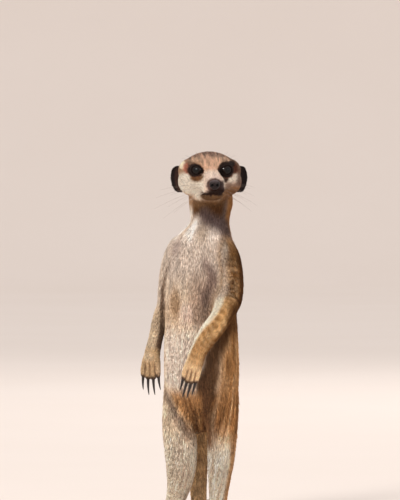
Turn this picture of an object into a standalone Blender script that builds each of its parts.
"""Meerkat, standing upright on its hind feet and tail: a still, life-size model.

Every length in the tables below is in millimetres and is turned into metres
once, at MM. The animal faces -Y, its left side is +X and +Z is up. The body is
built as one flesh mass from lofted tubes and ellipsoids, fused, smoothed and
then parted with thin cuts where a person would name its parts.
"""
import math

import bmesh
import bpy
import numpy as np
from mathutils import Matrix, Vector

# ---------------------------------------------------------------- dimensions
MM = 0.001
GAP = 0.3               # clearance between neighbouring solids
VOXEL = 1.15            # grid of the fused flesh mass
BODY_TRIS = 3200        # triangles of the whole flesh mass before it is parted

EYE_LEVEL = 302.9       # height of the eyes above the floor
HEAD_X, HEAD_Y = 5.7, -7.0
HEAD_YAW = 5.4          # degrees, the face turned towards the animal's left
TRUNK_YAW = -13.0       # degrees, the chest turned towards the animal's right

EYE_RADIUS = 6.2
EYE_PLACE = (11.6, -15.0, 0.0)
EYE_GAZE = (0.36, -0.93, 0.02)
LID_HEIGHT = 3.9        # how far in front of the eye's centre its lids stand
NOSE_PLACE = (0.0, -43.9, -12.2)
NOSE_RADII = (4.9, 3.4, 4.2)

EAR_HEIGHT = 23.0
EAR_FLARE = 7.0         # sideways reach of the ear
EAR_SWEEP = 11.0        # backward reach of the ear
EAR_WALL = 2.6

FORE_CLAW = 17.0
HIND_CLAW = 9.5
CLAW_ROOT = 1.35

FUR = (0.62, 0.47, 0.32)
CREAM = (0.74, 0.64, 0.52)
TAN = (0.50, 0.34, 0.18)
BROWN = (0.32, 0.19, 0.09)
DARK = (0.035, 0.022, 0.016)

# ------------------------------------------------------------------- helpers
for old in list(bpy.data.objects):
    bpy.data.objects.remove(old, do_unlink=True)


def material(name, colour, roughness, metallic=0.0):
    mat = bpy.data.materials.new(name)
    mat.use_nodes = True
    shader = mat.node_tree.nodes["Principled BSDF"]
    shader.inputs["Base Color"].default_value = (*colour, 1.0)
    shader.inputs["Roughness"].default_value = roughness
    shader.inputs["Metallic"].default_value = metallic
    mat.diffuse_color = (*colour, 1.0)
    return mat


def new_object(name, bm, mat=None, smooth=True):
    mesh = bpy.data.meshes.new(name)
    bmesh.ops.recalc_face_normals(bm, faces=bm.faces)
    bm.to_mesh(mesh)
    bm.free()
    if smooth:
        mesh.shade_smooth()
    obj = bpy.data.objects.new(name, mesh)
    bpy.context.scene.collection.objects.link(obj)
    if mat is not None:
        mesh.materials.append(mat)
    return obj


def hide_guide(obj):
    obj.hide_render = True
    obj.display_type = "WIRE"


def drop(obj):
    mesh = obj.data
    bpy.data.objects.remove(obj, do_unlink=True)
    bpy.data.meshes.remove(mesh)


def evaluated(obj):
    """The object's mesh with its modifiers applied."""
    graph = bpy.context.evaluated_depsgraph_get()
    graph.update()
    return bpy.data.meshes.new_from_object(obj.evaluated_get(graph))


def catmull(rows, per):
    """Rows of numbers run through a Catmull-Rom spline, `per` steps a span."""
    rows = np.asarray(rows, float)
    ext = np.vstack([2 * rows[0] - rows[1], rows, 2 * rows[-1] - rows[-2]])
    out = []
    for i in range(1, len(ext) - 2):
        p0, p1, p2, p3 = ext[i - 1:i + 3]
        for k in range(per):
            t = k / per
            out.append(0.5 * (2 * p1 + (p2 - p0) * t
                              + (2 * p0 - 5 * p1 + 4 * p2 - p3) * t * t
                              + (3 * p1 - p0 - 3 * p2 + p3) * t ** 3))
    out.append(rows[-1])
    return np.array(out)


def tube(bm, stations, side=(1, 0, 0), ring=20, per=4, level=False, cap=0.8, n_cap=4):
    """A closed loft. Each station is x, y, z, half-width, half-depth (mm).

    `side` is the direction of the half-width. With `level` the rings stay
    horizontal; otherwise they stand square to the path."""
    rows = catmull(stations, per)
    side = Vector(side)
    centres = [Vector(r[:3]) for r in rows]
    tangents = []
    for i in range(len(rows)):
        a, b = centres[max(i - 1, 0)], centres[min(i + 1, len(rows) - 1)]
        tangents.append((b - a).normalized())
    sections = []
    for k in range(n_cap, 0, -1):            # rounded start
        f = k / n_cap
        sections.append((centres[0] - tangents[0] * f * cap * rows[0][4], tangents[0],
                         rows[0][3], rows[0][4], math.sqrt(max(0.0, 1 - f * f))))
    for c, t, r in zip(centres, tangents, rows):
        sections.append((c, t, r[3], r[4], 1.0))
    for k in range(1, n_cap + 1):            # rounded end
        f = k / n_cap
        sections.append((centres[-1] + tangents[-1] * f * cap * rows[-1][4], tangents[-1],
                         rows[-1][3], rows[-1][4], math.sqrt(max(0.0, 1 - f * f))))
    rings = []
    for c, t, a, b, f in sections:
        if level:
            t = Vector((0, 0, 1 if t.z > 0 else -1))
        s = (side - t * side.dot(t)).normalized()
        d = t.cross(s)
        if f < 1e-4:
            rings.append([bm.verts.new(c)])
            continue
        rings.append([bm.verts.new(c + s * (a * f * math.cos(w)) + d * (b * f * math.sin(w)))
                      for w in (2 * math.pi * j / ring for j in range(ring))])
    for low, high in zip(rings, rings[1:]):
        for j in range(ring):
            k = (j + 1) % ring
            if len(low) == 1:
                bm.faces.new((low[0], high[k], high[j]))
            elif len(high) == 1:
                bm.faces.new((low[j], low[k], high[0]))
            else:
                bm.faces.new((low[j], low[k], high[k], high[j]))


def egg(bm, centre, radii, turn=None, fine=3):
    """An ellipsoid, turned by the matrix `turn` about its centre."""
    m = Matrix.Translation(Vector(centre)) @ (turn or Matrix()).to_4x4() @ Matrix.Diagonal((*radii, 1.0))
    bmesh.ops.create_icosphere(bm, subdivisions=fine, radius=1.0, matrix=m)


def unit(x, y, z):
    return Vector((x, y, z)).normalized()


# ---------------------------------------------------- the frames of the parts
HEAD = (Matrix.Translation((HEAD_X, HEAD_Y, EYE_LEVEL))
        @ Matrix.Rotation(math.radians(HEAD_YAW), 4, "Z"))
yaw = math.radians(TRUNK_YAW)
LEFT = Vector((math.cos(yaw), math.sin(yaw), 0))      # towards the animal's left
FRONT = Vector((math.sin(yaw), -math.cos(yaw), 0))    # towards its chest


def in_head(rows):
    """Head-frame stations as world stations."""
    return [(*(HEAD @ Vector(r[:3])), *r[3:]) for r in rows]


HEAD_SIDE = HEAD.to_3x3() @ Vector((1, 0, 0))

# --------------------------------------------------------------- the flesh mass
flesh = bmesh.new()

# skull, brow, cheeks, muzzle, whisker pads, jaw and throat
head_turn = HEAD.to_3x3()
for place, radii in (
    ((0, 6.0, -3.0), (25.4, 23.0, 19.3)),        # skull
    ((0, -7.5, 0.0), (20.0, 13.2, 13.2)),        # forehead
    ((15.8, 2.0, -0.7), (11.4, 16.0, 11.0)),     # temples
    ((-15.8, 2.0, -0.7), (11.4, 16.0, 11.0)),
    ((15.4, -1.0, -9.6), (12.1, 17.0, 12.6)),    # cheeks
    ((-15.4, -1.0, -9.6), (12.1, 17.0, 12.6)),
    ((5.0, -34.2, -15.2), (5.3, 7.6, 5.0)),      # whisker pads
    ((-5.0, -34.2, -15.2), (5.3, 7.6, 5.0)),
    ((0, 0.0, -19.5), (17.5, 18.0, 11.5)),       # throat
):
    egg(flesh, HEAD @ Vector(place), radii, head_turn)
tube(flesh, in_head([
    (0, -8, -6.5, 17.0, 15.0), (0, -17, -7.8, 14.0, 12.8), (0, -25.5, -10.0, 11.2, 10.4),
    (0, -33, -11.7, 9.0, 8.4), (0, -38.5, -12.5, 7.5, 7.2), (0, -41.6, -12.8, 5.8, 5.6),
]), side=HEAD_SIDE, ring=24, cap=0.5)
tube(flesh, in_head([
    (0, -4, -18.5, 14.5, 8.5), (0, -15, -20.3, 11.2, 6.2), (0, -24.5, -21.6, 8.4, 4.6),
    (0, -31.5, -22.2, 6.2, 3.5), (0, -35.8, -22.0, 4.4, 2.6),
]), side=HEAD_SIDE, ring=20, cap=0.6)

# neck and trunk
tube(flesh, [
    (6.6, 3.2, 284, 19.0, 18.6), (6.9, 2.6, 275, 19.0, 18.6), (6.3, 2.0, 266, 17.5, 18.0),
    (5.7, 1.2, 258.5, 16.8, 17.8), (3.4, 1.0, 252, 20.0, 19.8), (1.2, 1.0, 246, 23.4, 22.6),
    (-0.2, 0.4, 238, 26.6, 24.6), (-0.8, 0.4, 228, 28.4, 26.4), (-1.4, -0.2, 212, 29.8, 28.8),
    (-1.8, -1.2, 190, 30.2, 31.0), (-1.5, -1.8, 165, 31.2, 33.0), (-1.3, -1.2, 140, 32.0, 34.2),
    (-1.2, 1.4, 122, 32.0, 33.2), (-1.2, 5.0, 108, 30.0, 30.0), (-1.6, 7.0, 98, 26.0, 25.5),
    (-2.6, 8.0, 89, 18.0, 18.0),
], side=LEFT, ring=40, per=3, level=True)

# upper arms with their shoulders
tube(flesh, [
    (16.5, -6.0, 236, 11.0, 13.0), (19.6, -9.0, 227, 12.4, 14.0), (21.8, -11.5, 215, 12.6, 13.6),
    (22.6, -14.5, 203, 12.4, 12.8), (21.8, -21.0, 192, 11.8, 11.8), (19.8, -28.5, 186.5, 10.6, 10.6),
], side=(1, 0, 0), ring=24)
tube(flesh, [
    (-19.0, 3.0, 236, 11.0, 13.0), (-22.6, 5.0, 227, 11.6, 13.6), (-26.2, 7.5, 215, 11.0, 12.6),
    (-28.6, 10.0, 203, 10.0, 11.4), (-30.2, 12.0, 191, 9.2, 10.2), (-31.8, 12.6, 181, 8.4, 9.0),
], side=(1, 0, 0), ring=24)
# forearms
ARM_L = [(20.6, -30.5, 187.0, 10.8, 10.4), (15.5, -44.6, 177.5, 10.2, 8.8), (7.0, -49.4, 166.0, 9.4, 7.6),
         (0.0, -47.8, 155.5, 8.6, 6.6), (-4.6, -46.0, 147.0, 7.6, 5.6), (-6.8, -44.8, 139.0, 7.8, 5.0)]
ARM_R = [(-32.2, 12.6, 182.5, 8.4, 9.0), (-37.4, 13.4, 172.0, 6.8, 7.6), (-40.0, 11.8, 161.0, 6.2, 6.8),
         (-42.4, 7.8, 150.5, 6.6, 5.6), (-44.2, 4.4, 141.5, 7.4, 5.0)]
tube(flesh, ARM_L, side=(0.82, 0, 0.57), ring=22)
tube(flesh, ARM_R, side=(1, 0.35, 0), ring=22)

# legs, each from the hip to the heel
LEG_L = [(15.5, 3.0, 122, 14.5, 22.0), (16.0, -3.0, 103, 15.0, 20.5), (16.4, -10.5, 84, 13.6, 16.6),
         (16.2, -12.0, 67, 12.4, 12.6), (15.2, -5.5, 50, 11.0, 10.6), (14.0, 2.5, 34, 9.4, 9.2),
         (13.2, 7.5, 21, 8.0, 8.2), (12.6, 9.0, 11, 7.8, 8.4)]
LEG_R = [(-18.5, 9.5, 122, 14.5, 22.0), (-19.5, 4.0, 103, 15.0, 20.5), (-21.2, -3.5, 84, 14.0, 16.6),
         (-19.4, -5.0, 67, 14.2, 13.2), (-18.8, 1.5, 50, 13.2, 11.4), (-20.0, 9.5, 34, 11.2, 9.8),
         (-22.8, 14.5, 21, 9.0, 8.6), (-25.4, 16.0, 11, 8.0, 8.4)]
tube(flesh, LEG_L, side=(1, 0, 0), ring=26)
tube(flesh, LEG_R, side=(1, 0, 0), ring=26)
egg(flesh, (-4.5, 9.0, 88.0), (13.0, 13.0, 13.0))

# tail: down from the rump, then back along the floor
TAIL = [(-2.0, 26.0, 116, 13.5, 12.5), (-2.6, 38.0, 99, 11.6, 11.2), (-3.4, 50.0, 74, 9.8, 9.6),
        (-4.0, 60.0, 47, 8.4, 8.4), (-4.0, 71.5, 23.5, 7.4, 7.4), (-3.0, 88.0, 9.8, 6.8, 6.6),
        (0.0, 110.0, 5.4, 6.4, 6.0), (4.5, 133.0, 4.9, 5.9, 5.5), (9.0, 155.0, 4.4, 5.2, 4.9),
        (12.5, 174.0, 3.8, 4.0, 4.1)]
tube(flesh, TAIL, side=(1, 0, 0), ring=20)


def paw(place, ahead, up, length, width, thick, toe, spread, reach, lengths):
    """A palm and four toes. Returns each toe's tip, direction and the paw's up."""
    place, ahead, up = Vector(place), Vector(ahead).normalized(), Vector(up)
    across = ahead.cross(up).normalized()
    up = across.cross(ahead).normalized()
    turn = Matrix((across, ahead, up)).transposed()
    egg(flesh, place + ahead * (length * 0.5), (width * 0.5, length * 0.62, thick * 0.5), turn)
    tips = []
    for i in range(4):
        u = (i - 1.5) / 1.5
        way = (ahead + across * (u * spread)).normalized()
        root = place + ahead * (length * 0.55) + across * (u * (width * 0.5 - toe * 0.85))
        reach_i = reach * lengths[i]
        mid = root + way * (reach_i * 0.55) + up * (toe * 0.30)
        tip = root + way * reach_i - up * (toe * 0.10)
        tube(flesh, [(*root, toe * 1.02, toe * 1.02), (*mid, toe * 1.06, toe * 1.06), (*tip, toe * 0.86, toe * 0.88)],
             side=across, ring=12, per=3, cap=0.9)
        tips.append((tip, way))
    return tips, up


hand_l, up_hl = paw((-6.6, -45.2, 143.0), (-0.26, 0.02, -1.0), (0.05, -1.0, 0.0), 14.5, 15.4, 9.6, 2.6, 0.0,
                    13.6, (0.88, 1.0, 1.0, 0.84))
hand_r, up_hr = paw((-44.2, 5.2, 146.0), (-0.04, -0.08, -1.0), (-0.35, -0.94, 0.0), 14.5, 16.6, 9.6, 2.7, 0.08,
                    14.6, (0.84, 1.0, 1.0, 0.88))
foot_l, up_fl = paw((12.0, -12.0, 4.5), (-0.085, -1.0, -0.030), (0, 0, 1), 17.0, 17.6, 10.4, 3.1, 0.17,
                    19.0, (0.84, 1.0, 0.98, 0.80))
foot_r, up_fr = paw((-28.6, -4.6, 4.5), (-0.17, -1.0, -0.030), (0, 0, 1), 17.0, 17.6, 10.4, 3.1, 0.17,
                    19.0, (0.80, 0.98, 1.0, 0.84))
# insteps between heel and toes
tube(flesh, [(12.6, 12.0, 6.6, 7.2, 8.0), (12.4, 4.0, 7.2, 7.6, 8.2), (12.0, -6.0, 6.2, 8.0, 7.0),
             (11.2, -18.0, 4.4, 8.4, 5.6)], side=(1, 0, 0), ring=20)
tube(flesh, [(-26.6, 19.0, 6.6, 7.2, 8.0), (-27.2, 11.0, 7.2, 7.6, 8.2), (-28.4, 1.0, 6.2, 8.0, 7.0),
             (-30.4, -11.0, 4.4, 8.4, 5.6)], side=(1, 0, 0), ring=20)

bmesh.ops.scale(flesh, vec=(MM, MM, MM), verts=flesh.verts)
mass = new_object("flesh", flesh)

remesh = mass.modifiers.new("fuse", "REMESH")
remesh.mode = "VOXEL"
remesh.voxel_size = VOXEL * MM
remesh.use_smooth_shade = True
soften = mass.modifiers.new("soften", "SMOOTH")
soften.factor = 0.5
soften.iterations = 7

fused = evaluated(mass)
drop(mass)

n = len(fused.vertices)
co = np.empty(n * 3)
fused.vertices.foreach_get("co", co)
co = co.reshape(-1, 3) / MM

# the flesh round each eye is brought to the height of the lids
for sign in (1, -1):
    middle = np.array(HEAD @ Vector((sign * EYE_PLACE[0], *EYE_PLACE[1:])))
    gaze = np.array(HEAD.to_3x3() @ unit(sign * EYE_GAZE[0], *EYE_GAZE[1:]))
    rel = co - middle
    high = rel @ gaze
    away = np.linalg.norm(rel - high[:, None] * gaze, axis=1)
    near = np.clip((9.5 - away) / 4.5, 0, 1) * (high > -4)
    near = near * near * (3 - 2 * near)
    co += ((LID_HEIGHT - high) * near)[:, None] * gaze
fused.vertices.foreach_set("co", (co * MM).ravel())

# a weight that keeps small triangles on the head, the hands and the feet
fine = np.zeros(n)
fine[co[:, 2] > 276] = 0.80
front_face = (co[:, 2] > 278) & (co[:, 1] < -16)
hands = (((co[:, 1] < -36) & (co[:, 2] < 150)) | ((co[:, 0] < -35.5) & (co[:, 2] < 152))) & (co[:, 2] > 100)
feet = (co[:, 2] < 16) & (co[:, 1] < 60)
fine[hands] = 0.84
fine[feet] = 0.60
fine[front_face] = 1.0
fine = np.clip(fine, 0.02, 0.94)

mass = bpy.data.objects.new("flesh", fused)
bpy.context.scene.collection.objects.link(mass)
group = mass.vertex_groups.new(name="fine")
for value in np.unique(fine):
    group.add([int(i) for i in np.nonzero(fine == value)[0]], float(value), "REPLACE")
thin = mass.modifiers.new("thin", "DECIMATE")
thin.ratio = BODY_TRIS / (2.0 * len(fused.polygons))
thin.vertex_group = "fine"
thin.invert_vertex_group = True
thin.vertex_group_factor = 0.004
thin.use_collapse_triangulate = True
slim = evaluated(mass)
drop(mass)
mass = bpy.data.objects.new("flesh", slim)
bpy.context.scene.collection.objects.link(mass)


# ------------------------------------------------------------- thin cut walls
def cell(planes, inset):
    """The convex space inside the planes (point, outward normal), in mm."""
    bm = bmesh.new()
    bmesh.ops.create_cube(bm, size=900.0)
    for point, normal in planes:
        normal = Vector(normal).normalized()
        geom = bm.verts[:] + bm.edges[:] + bm.faces[:]
        bmesh.ops.bisect_plane(bm, geom=geom, plane_co=Vector(point) - normal * inset,
                               plane_no=normal, clear_outer=True)
        edges = [e for e in bm.edges if len(e.link_faces) == 1]
        if edges:
            bmesh.ops.contextual_create(bm, geom=edges)
    bmesh.ops.recalc_face_normals(bm, faces=bm.faces)
    return bm


def box_planes(centre, size, turn=None):
    turn = turn or Matrix.Identity(3)
    centre = Vector(centre)
    out = []
    for k in range(3):
        axis = turn.col[k].copy()
        out.append((centre + axis * size[k] / 2, axis))
        out.append((centre - axis * size[k] / 2, -axis))
    return out


def wall_object(name, planes):
    """A hollow cutter, GAP thick, just inside the given planes."""
    outer, inner = cell(planes, 0.0), cell(planes, GAP)
    bmesh.ops.reverse_faces(inner, faces=inner.faces[:])
    shell = bpy.data.meshes.new(name)
    inner.to_mesh(shell)
    outer.from_mesh(shell)
    bpy.data.meshes.remove(shell)
    inner.free()
    bmesh.ops.scale(outer, vec=(MM, MM, MM), verts=outer.verts)
    mesh = bpy.data.meshes.new(name)
    outer.to_mesh(mesh)
    outer.free()
    obj = bpy.data.objects.new(name, mesh)
    bpy.context.scene.collection.objects.link(obj)
    hide_guide(obj)
    return obj


def slice_object(name, place, normal, width, depth=None, side=(1, 0, 0)):
    """A thin slab through `place`, square to `normal`."""
    normal = Vector(normal).normalized()
    side = Vector(side)
    side = (side - normal * side.dot(normal)).normalized()
    turn = Matrix((side, normal.cross(side), normal)).transposed()
    bm = bmesh.new()
    m = (Matrix.Translation(Vector(place)) @ turn.to_4x4()
         @ Matrix.Diagonal((width, depth or width, GAP, 1.0)))
    bmesh.ops.create_cube(bm, size=1.0, matrix=m)
    bmesh.ops.scale(bm, vec=(MM, MM, MM), verts=bm.verts)
    obj = new_object(name, bm, smooth=False)
    hide_guide(obj)
    return obj


def cut(obj, cutters):
    for c in cutters:
        mod = obj.modifiers.new(c.name, "BOOLEAN")
        mod.operation = "DIFFERENCE"
        mod.solver = "MANIFOLD"
        mod.object = c
    mesh = evaluated(obj)
    old = obj.data
    obj.modifiers.clear()
    obj.data = mesh
    bpy.data.meshes.remove(old)
    for c in cutters:
        drop(c)


cutters = [
    slice_object("cut_head", (5.6, 1.0, 278.0), (0.0, -0.20, 1.0), 70),
    slice_object("cut_neck", (3.4, 1.0, 249.0), (0.12, -0.06, 1.0), 66),
    # elbows, wrists
    slice_object("cut_elbow_l", (18.6, -36.0, 183.2), (0.31, 0.76, 0.58), 30, 30, side=(1, 0, -0.5)),
    slice_object("cut_wrist_l", (-4.6, -46.0, 146.6), (0.22, 0.0, 1.0), 24, 15),
    slice_object("cut_arm_side_r", (-30.0, 13.5, 167.0), (0.97, -0.22, 0.12), 26, 22, side=(0, 1, 0)),
    slice_object("cut_wrist_r", (-43.2, 6.2, 147.2), (0.10, 0.2, 1.0), 20, 20),
    # knees and heels
    slice_object("cut_knee_l", (15.6, -12.0, 67.0), (0, 0.10, 1.0), 30, 36),
    slice_object("cut_knee_r", (-19.6, -5.0, 67.0), (0, 0.10, 1.0), 31, 36),
    slice_object("cut_heel_l", (12.8, 8.0, 19.0), (0, 0.0, 1.0), 22, 30),
    slice_object("cut_heel_r", (-24.4, 15.0, 19.0), (0, 0.0, 1.0), 25, 30),
    # tail
    slice_object("cut_tail_root", (-2.4, 36.5, 103.5), (0.02, -0.84, 0.545), 44, 50),
    slice_object("cut_tail_1", (-4.0, 59.0, 50.0), (0.0, -0.40, 0.92), 24, 26),
    slice_object("cut_tail_2", (-3.0, 89.0, 9.4), (-0.10, -0.90, 0.25), 24, 24),
    slice_object("cut_tail_3", (4.5, 133.0, 4.9), (-0.20, -1.0, 0.03), 22, 22),
]
# each upper arm's own cell against the flank
arm_in_l = unit(-0.80, 0.60, 0.0)
arm_in_r = unit(0.97, -0.24, 0.0)
cutters.append(wall_object("cut_arm_l", [
    (Vector((12.8, -10.0, 210)), arm_in_l),
    (Vector((14.0, -12.0, 241.0)), unit(-0.45, 0.2, 1.0)),
    (Vector((19.0, -26.0, 174.6)), unit(0.1, 0.2, -1)),
    (Vector((70, 0, 200)), (1, 0, 0)),
    (Vector((0, -70, 200)), (0, -1, 0)),
    (Vector((0, 40, 200)), (0, 1, 0)),
]))
cutters.append(wall_object("cut_arm_r", [
    (Vector((-21.0, 8.0, 210)), arm_in_r),
    (Vector((-18.0, 4.0, 241.0)), unit(0.45, 0.0, 1.0)),
    (Vector((-36.0, 12.8, 176.0)), unit(-0.40, 0.05, -0.92)),
    (Vector((-80, 0, 200)), (-1, 0, 0)),
    (Vector((0, -40, 200)), (0, -1, 0)),
    (Vector((0, 60, 200)), (0, 1, 0)),
]))
# each thigh's cell under the groin line
cutters.append(wall_object("cut_thigh_l", [
    (Vector((-2.6, 0, 80)), (-1, 0, 0)),
    (Vector((15.0, 0, 112.0)), unit(-0.62, -0.10, 1.0)),
    (Vector((15.0, 26.5, 100.0)), unit(0, 1.0, 0.0)),
    (Vector((0, -60, 100)), unit(0, -1.0, 0.25)),
    (Vector((60, 0, 100)), (1, 0, 0)),
    (Vector((0, 0, -20)), (0, 0, -1)),
]))
cutters.append(wall_object("cut_thigh_r", [
    (Vector((-3.4, 0, 80)), (1, 0, 0)),
    (Vector((-19.0, 0, 112.0)), unit(0.62, -0.10, 1.0)),
    (Vector((-19.0, 27.0, 100.0)), unit(0, 1.0, 0.0)),
    (Vector((0, -34, 100)), (0, -1, 0)),
    (Vector((-35.4, 0, 112)), unit(-1, 0, 0.45)),
    (Vector((0, 0, -20)), (0, 0, -1)),
]))
# the floor: soles, heels and the tail's underside are flat where they rest
floor_bm = bmesh.new()
bmesh.ops.create_cube(floor_bm, size=1.0, matrix=Matrix.Translation((0, 60, -10)) @ Matrix.Diagonal((300, 400, 20, 1)))
bmesh.ops.scale(floor_bm, vec=(MM, MM, MM), verts=floor_bm.verts)
floor_cut = new_object("cut_floor", floor_bm, smooth=False)
hide_guide(floor_cut)
cutters.append(floor_cut)

# ------------------------------------------------------ eyes, nose and claws
EYE_SEG, EYE_RING = 14, 9


def eye_solid(name, sign, grow, mat=None):
    bm = bmesh.new()
    place = HEAD @ Vector((sign * EYE_PLACE[0], EYE_PLACE[1], EYE_PLACE[2]))
    gaze = HEAD.to_3x3() @ unit(sign * EYE_GAZE[0], *EYE_GAZE[1:])
    turn = gaze.to_track_quat("Z", "Y").to_matrix().to_4x4()
    bmesh.ops.create_uvsphere(bm, u_segments=EYE_SEG, v_segments=EYE_RING, radius=(EYE_RADIUS + grow) * MM,
                              matrix=Matrix.Translation(place * MM) @ turn)
    return new_object(name, bm, mat)


def nose_solid(name, grow, mat=None):
    bm = bmesh.new()
    radii = [r + grow for r in NOSE_RADII]
    egg(bm, HEAD @ Vector(NOSE_PLACE), radii, head_turn, fine=2)
    bmesh.ops.scale(bm, vec=(MM, MM, MM), verts=bm.verts)
    return new_object(name, bm, mat)


def claw_solid(name, tip, way, up, length, curl, grow, mat=None):
    """A hooked, tapering claw rooted inside the toe's tip."""
    bm = bmesh.new()
    side = way.cross(up).normalized()
    steps = 4
    rows = []
    for k in range(steps + 1):
        f = k / steps
        bend = math.radians(curl) * f
        along = length * (math.sin(bend) / max(math.radians(curl), 1e-6))
        fall = length * ((1 - math.cos(bend)) / max(math.radians(curl), 1e-6))
        p = tip - way * 1.6 + way * along - up * fall
        r = CLAW_ROOT * (1 - f) ** 0.65 + 0.28
        rows.append((*p, r * 0.85 + grow, r * 1.05 + grow))
    if grow:
        rows = rows[:4]
        rows[0] = (*(Vector(rows[0][:3]) - way * grow), *rows[0][3:])
    tube(bm, rows, side=side, ring=6, per=1, cap=0.5, n_cap=1)
    bmesh.ops.scale(bm, vec=(MM, MM, MM), verts=bm.verts)
    return new_object(name, bm, mat)


horn = material("claw_horn", (0.030, 0.022, 0.018), 0.38)
eye_mat = material("eye_dark", (0.020, 0.010, 0.007), 0.06)
nose_mat = material("nose_skin", (0.060, 0.044, 0.042), 0.45)
ear_mat = material("ear_fur", DARK, 0.9)

claw_specs = []
for tag, (tips, up, length, curl) in {
    "hand_l": (hand_l, up_hl, FORE_CLAW, 34), "hand_r": (hand_r, up_hr, FORE_CLAW, 34),
    "foot_l": (foot_l, up_fl, HIND_CLAW, 26), "foot_r": (foot_r, up_fr, HIND_CLAW, 26),
}.items():
    for i, (tip, way) in enumerate(tips):
        if tag.startswith("foot"):
            way = (way + Vector((0, 0, 0.14))).normalized()
            tip = tip + Vector((0, 0, 0.8))
        claw_specs.append((f"claw_{tag}_{i + 1}", tip, way, up, length * (0.86, 1.0, 1.0, 0.84)[i], curl))
for spec in claw_specs:
    claw_solid(*spec, 0.0, horn)
    pocket = claw_solid("cut_" + spec[0], *spec[1:], GAP)
    hide_guide(pocket)
    cutters.append(pocket)

eye_solid("eye_l", 1, 0.0, eye_mat)
eye_solid("eye_r", -1, 0.0, eye_mat)
nose_solid("nose", 0.0, nose_mat)
for pocket in (eye_solid("cut_eye_l", 1, GAP), eye_solid("cut_eye_r", -1, GAP), nose_solid("cut_nose", GAP)):
    hide_guide(pocket)
    cutters.append(pocket)


# --------------------------------------------------------------------- ears
def ear_solid(name, sign, grow, mat=None):
    """A rounded, cupped ear: a half-moon plate swept outwards and back."""
    bm = bmesh.new()
    rows_v, rows_u = 10, 5
    out_dir = unit(EAR_FLARE + 0.6 * sign, EAR_SWEEP, 0)
    face_dir = unit(EAR_SWEEP, -EAR_FLARE, 0)      # the hollow side looks out and forwards
    reach = math.hypot(EAR_FLARE, EAR_SWEEP)
    grid = {}
    for layer in (0, 1):
        for j in range(rows_v + 1):
            v = j / rows_v
            a = math.pi * v
            half = math.sin(a) ** 0.62 if 0 < v < 1 else 0.0
            root_z = 3.6 - EAR_HEIGHT * (0.5 - 0.5 * math.cos(a)) * 0.985
            root = Vector((24.6 + 0.8 * math.sin(a), 1.5 - 2.4 * v, root_z))
            for i in range(rows_u + 1):
                u = i / rows_u
                p = root + out_dir * (u * reach * (0.10 + 0.90 * half)) + face_dir * (
                    1.2 * (u ** 2) * half - 1.6 * math.sin(math.pi * u) * half)
                edge = min(1.0, (1 - u) * 3.2 + 0.35) * min(1.0, 0.40 + 2.2 * half)
                t = EAR_WALL * 0.5 * edge + grow
                q = p + face_dir * (t if layer else -t)
                q.x *= sign
                grid[layer, j, i] = bm.verts.new(HEAD @ q)
    for j in range(rows_v):
        for i in range(rows_u):
            bm.faces.new((grid[1, j, i], grid[1, j + 1, i], grid[1, j + 1, i + 1], grid[1, j, i + 1]))
            bm.faces.new((grid[0, j, i], grid[0, j, i + 1], grid[0, j + 1, i + 1], grid[0, j + 1, i]))
        for i in (0, rows_u):
            bm.faces.new((grid[0, j, i], grid[0, j + 1, i], grid[1, j + 1, i], grid[1, j, i]))
    for i in range(rows_u):
        for j in (0, rows_v):
            bm.faces.new((grid[0, j, i], grid[0, j, i + 1], grid[1, j, i + 1], grid[1, j, i]))
    bmesh.ops.scale(bm, vec=(MM, MM, MM), verts=bm.verts)
    return new_object(name, bm, mat)


ear_solid("ear_l", 1, 0.0, ear_mat)
ear_solid("ear_r", -1, 0.0, ear_mat)
for pocket in (ear_solid("cut_ear_l", 1, GAP), ear_solid("cut_ear_r", -1, GAP)):
    # a little longer at the root and the two ends, so that it clears the ear all round
    hide_guide(pocket)
    cutters.append(pocket)

cut(mass, cutters)

# ------------------------------------------------------ the parted flesh, named
PARTS = {
    # name: (a point near the part's middle, colour)
    "head": ((5.2, -8.0, 297.0), CREAM),
    "neck": ((5.4, 1.5, 262.0), CREAM),
    "trunk": ((-1.4, 0.0, 165.0), CREAM),
    "upper_arm_l": ((23.0, -14.0, 206.0), TAN),
    "upper_arm_r": ((-32.0, 6.0, 205.0), FUR),
    "forearm_l": ((5.0, -47.0, 163.0), TAN),
    "forearm_r": ((-39.0, 9.5, 162.0), TAN),
    "hand_l": ((-8.4, -45.0, 134.0), TAN),
    "hand_r": ((-43.8, 3.0, 136.0), TAN),
    "thigh_l": ((15.8, -5.0, 92.0), BROWN),
    "thigh_r": ((-21.0, 1.0, 92.0), BROWN),
    "shank_l": ((13.8, -3.0, 44.0), FUR),
    "shank_r": ((-19.4, 4.0, 44.0), FUR),
    "foot_l": ((10.8, -16.0, 8.0), FUR),
    "foot_r": ((-30.4, -9.0, 8.0), FUR),
    "tail_1": ((-3.2, 47.0, 78.0), FUR),
    "tail_2": ((-3.8, 72.0, 26.0), FUR),
    "tail_3": ((0.6, 111.0, 5.4), FUR),
    "tail_4": ((9.4, 156.0, 4.4), DARK),
}
SMALLEST = 8.0          # mm3, below which a loose crumb of a cut is cleared away

whole = bmesh.new()
whole.from_mesh(mass.data)
drop(mass)
bmesh.ops.triangulate(whole, faces=whole.faces)
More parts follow.
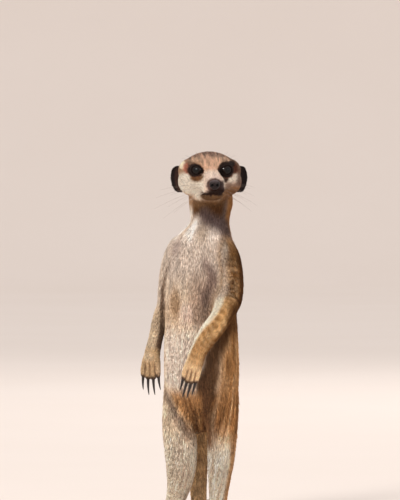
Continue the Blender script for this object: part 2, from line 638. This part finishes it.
# two triangles back to back on the same corners hold nothing between them
pairs, empty = {}, []
for f in whole.faces:
    key = frozenset(v.index for v in f.verts)
    if key in pairs:
        empty += [f, pairs.pop(key)]
    else:
        pairs[key] = f
bmesh.ops.delete(whole, geom=empty, context="FACES_ONLY")
whole.faces.ensure_lookup_table()
seen, islands = set(), []
for seed in whole.faces:
    if seed.index in seen:
        continue
    seen.add(seed.index)
    stack, members = [seed], []
    while stack:
        f = stack.pop()
        members.append(f)
        for e in f.edges:
            for g in e.link_faces if len(e.link_faces) == 2 else ():
                if g.index not in seen:
                    seen.add(g.index)
                    stack.append(g)
    islands.append(members)


def island_mesh(members):
    bm = bmesh.new()
    verts = {}
    for f in members:
        for v in f.verts:
            if v.index not in verts:
                verts[v.index] = bm.verts.new(v.co)
        bm.faces.new([verts[v.index] for v in f.verts])
    return bm


found = {}
for members in islands:
    bm = island_mesh(members)
    size = abs(bm.calc_volume()) / MM ** 3
    if size < SMALLEST:
        bm.free()
        continue
    centre = sum((v.co for v in bm.verts), Vector()) / len(bm.verts) / MM
    # the nearest named point, measured to the piece's vertices and centre
    best = min(PARTS, key=lambda k: (Vector(PARTS[k][0]) - centre).length)
    found.setdefault(best, []).append((size, bm))
for name, pieces in found.items():
    pieces.sort(key=lambda p: -p[0])
    for k, (size, bm) in enumerate(pieces):
        if k:
            print("spare piece beside", name, round(size, 1))
            bm.free()
missing = [k for k in PARTS if k not in found]
if missing:
    print("missing parts:", missing)
for name, (place, colour) in PARTS.items():
    if name not in found:
        continue
    bm = found[name][0][1]
    obj = new_object(name, bm, material(name + "_fur", colour, 0.85))
    obj.data.set_sharp_from_angle(angle=math.radians(50))

# ---------------------------------- one parent at the reference point, on the floor
solids = [o for o in bpy.context.scene.objects if o.type == "MESH" and not o.hide_render]
lows = np.array([[min(v.co[k] for v in o.data.vertices) for k in range(3)] for o in solids]).min(axis=0)
highs = np.array([[max(v.co[k] for v in o.data.vertices) for k in range(3)] for o in solids]).max(axis=0)
datum = Vector(((lows[0] + highs[0]) / 2, (lows[1] + highs[1]) / 2, lows[2]))
stand = bpy.data.objects.new("meerkat", None)
bpy.context.scene.collection.objects.link(stand)
for obj in solids:
    pts = np.array([v.co[:] for v in obj.data.vertices])
    middle = Vector((pts.min(axis=0) + pts.max(axis=0)) / 2)
    obj.data.transform(Matrix.Translation(-middle))
    obj.parent = stand
    obj.location = middle - datum
